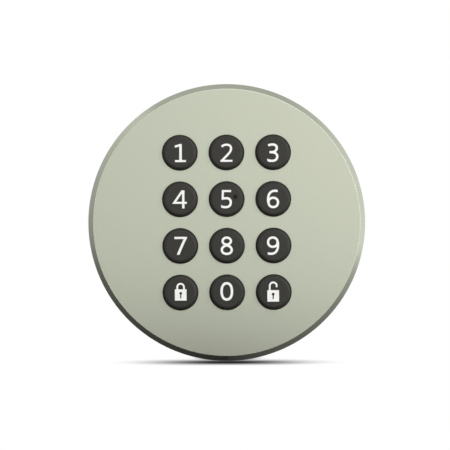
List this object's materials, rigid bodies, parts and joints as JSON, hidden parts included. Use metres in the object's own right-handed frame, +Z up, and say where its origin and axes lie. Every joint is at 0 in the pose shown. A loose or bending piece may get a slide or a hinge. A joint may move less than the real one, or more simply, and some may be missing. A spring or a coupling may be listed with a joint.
{
  "type": "wall keypad for a smart lock",
  "caption": "Round aluminium wall keypad for a smart lock: raised round silicone number, lock and unlock keys, on a bayonet wall plate, battery powered.",
  "frame": {"origin": "centre of the wall plate's back face, where the turning axis meets the wall", "axes": "+Z up, +Y into the wall, the keys face -Y and +X is to the right of someone facing them"},
  "size_m": [0.078, 0.0227, 0.078],
  "materials": {
    "satin_aluminium": "satin",
    "key_silicone": "matte",
    "mat_silicone": "matte",
    "seal_rubber": "satin",
    "carbon_pill": "matte",
    "moulded_plastic": "matte",
    "board_mask": "gloss",
    "gold_plate": "satin",
    "chip_plastic": "matte",
    "tinned_steel": "satin",
    "spring_steel": "satin",
    "ceramic": "satin",
    "cell_jacket": "satin",
    "legend_ink": "matte",
    "screw_steel": "satin"
  },
  "bodies": {
    "wall_mount": {"wall_plate": "moulded_plastic", "rim_seal": "seal_rubber"},
    "keypad_unit": {"front_housing": "satin_aluminium", "key_frame": "moulded_plastic", "key_mat": "mat_silicone", "key_webs": "mat_silicone", "circuit_board": "board_mask", "contact_pads": "gold_plate", "radio_module": "board_mask", "radio_shield": "tinned_steel", "microcontroller": "chip_plastic", "crystal": "tinned_steel", "capacitors": "ceramic", "buzzer": "chip_plastic", "battery_tray": "moulded_plastic", "contact_strips": "spring_steel", "contact_springs": "spring_steel", "battery_1": "cell_jacket", "battery_2": "cell_jacket", "battery_3": "cell_jacket", "tray_screws": "screw_steel"},
    "key_1_body": {"key_1": "key_silicone", "carbon_pill_1": "carbon_pill"},
    "key_2_body": {"key_2": "key_silicone", "carbon_pill_2": "carbon_pill"},
    "key_3_body": {"key_3": "key_silicone", "carbon_pill_3": "carbon_pill"},
    "key_4_body": {"key_4": "key_silicone", "carbon_pill_4": "carbon_pill"},
    "key_5_body": {"key_5": "key_silicone", "carbon_pill_5": "carbon_pill"},
    "key_6_body": {"key_6": "key_silicone", "carbon_pill_6": "carbon_pill"},
    "key_7_body": {"key_7": "key_silicone", "carbon_pill_7": "carbon_pill"},
    "key_8_body": {"key_8": "key_silicone", "carbon_pill_8": "carbon_pill"},
    "key_9_body": {"key_9": "key_silicone", "carbon_pill_9": "carbon_pill"},
    "key_lock_body": {"key_lock": "key_silicone", "carbon_pill_lock": "carbon_pill"},
    "key_0_body": {"key_0": "key_silicone", "carbon_pill_0": "carbon_pill"},
    "key_unlock_body": {"key_unlock": "key_silicone", "carbon_pill_unlock": "carbon_pill"}
  },
  "joints": [
    {"name": "bayonet_turn", "type": "hinge", "parent": "wall_mount", "child": "keypad_unit", "pos_m": [0, 0, 0], "axis": [0, -1, 0], "range_deg": [0, 20]},
    {"name": "press_1", "type": "slide", "parent": "keypad_unit", "child": "key_1_body", "axis": [0, 1, 0], "range_m": [0, 0.0009], "stiffness_N_per_m": 1500, "springref_m": -0.0001, "deforming": ["key_webs"]},
    {"name": "press_2", "type": "slide", "parent": "keypad_unit", "child": "key_2_body", "axis": [0, 1, 0], "range_m": [0, 0.0009], "stiffness_N_per_m": 1500, "springref_m": -0.0001, "deforming": ["key_webs"]},
    {"name": "press_3", "type": "slide", "parent": "keypad_unit", "child": "key_3_body", "axis": [0, 1, 0], "range_m": [0, 0.0009], "stiffness_N_per_m": 1500, "springref_m": -0.0001, "deforming": ["key_webs"]},
    {"name": "press_4", "type": "slide", "parent": "keypad_unit", "child": "key_4_body", "axis": [0, 1, 0], "range_m": [0, 0.0009], "stiffness_N_per_m": 1500, "springref_m": -0.0001, "deforming": ["key_webs"]},
    {"name": "press_5", "type": "slide", "parent": "keypad_unit", "child": "key_5_body", "axis": [0, 1, 0], "range_m": [0, 0.0009], "stiffness_N_per_m": 1500, "springref_m": -0.0001, "deforming": ["key_webs"]},
    {"name": "press_6", "type": "slide", "parent": "keypad_unit", "child": "key_6_body", "axis": [0, 1, 0], "range_m": [0, 0.0009], "stiffness_N_per_m": 1500, "springref_m": -0.0001, "deforming": ["key_webs"]},
    {"name": "press_7", "type": "slide", "parent": "keypad_unit", "child": "key_7_body", "axis": [0, 1, 0], "range_m": [0, 0.0009], "stiffness_N_per_m": 1500, "springref_m": -0.0001, "deforming": ["key_webs"]},
    {"name": "press_8", "type": "slide", "parent": "keypad_unit", "child": "key_8_body", "axis": [0, 1, 0], "range_m": [0, 0.0009], "stiffness_N_per_m": 1500, "springref_m": -0.0001, "deforming": ["key_webs"]},
    {"name": "press_9", "type": "slide", "parent": "keypad_unit", "child": "key_9_body", "axis": [0, 1, 0], "range_m": [0, 0.0009], "stiffness_N_per_m": 1500, "springref_m": -0.0001, "deforming": ["key_webs"]},
    {"name": "press_lock", "type": "slide", "parent": "keypad_unit", "child": "key_lock_body", "axis": [0, 1, 0], "range_m": [0, 0.0009], "stiffness_N_per_m": 1500, "springref_m": -0.0001, "deforming": ["key_webs"]},
    {"name": "press_0", "type": "slide", "parent": "keypad_unit", "child": "key_0_body", "axis": [0, 1, 0], "range_m": [0, 0.0009], "stiffness_N_per_m": 1500, "springref_m": -0.0001, "deforming": ["key_webs"]},
    {"name": "press_unlock", "type": "slide", "parent": "keypad_unit", "child": "key_unlock_body", "axis": [0, 1, 0], "range_m": [0, 0.0009], "stiffness_N_per_m": 1500, "springref_m": -0.0001, "deforming": ["key_webs"]}
  ]
}
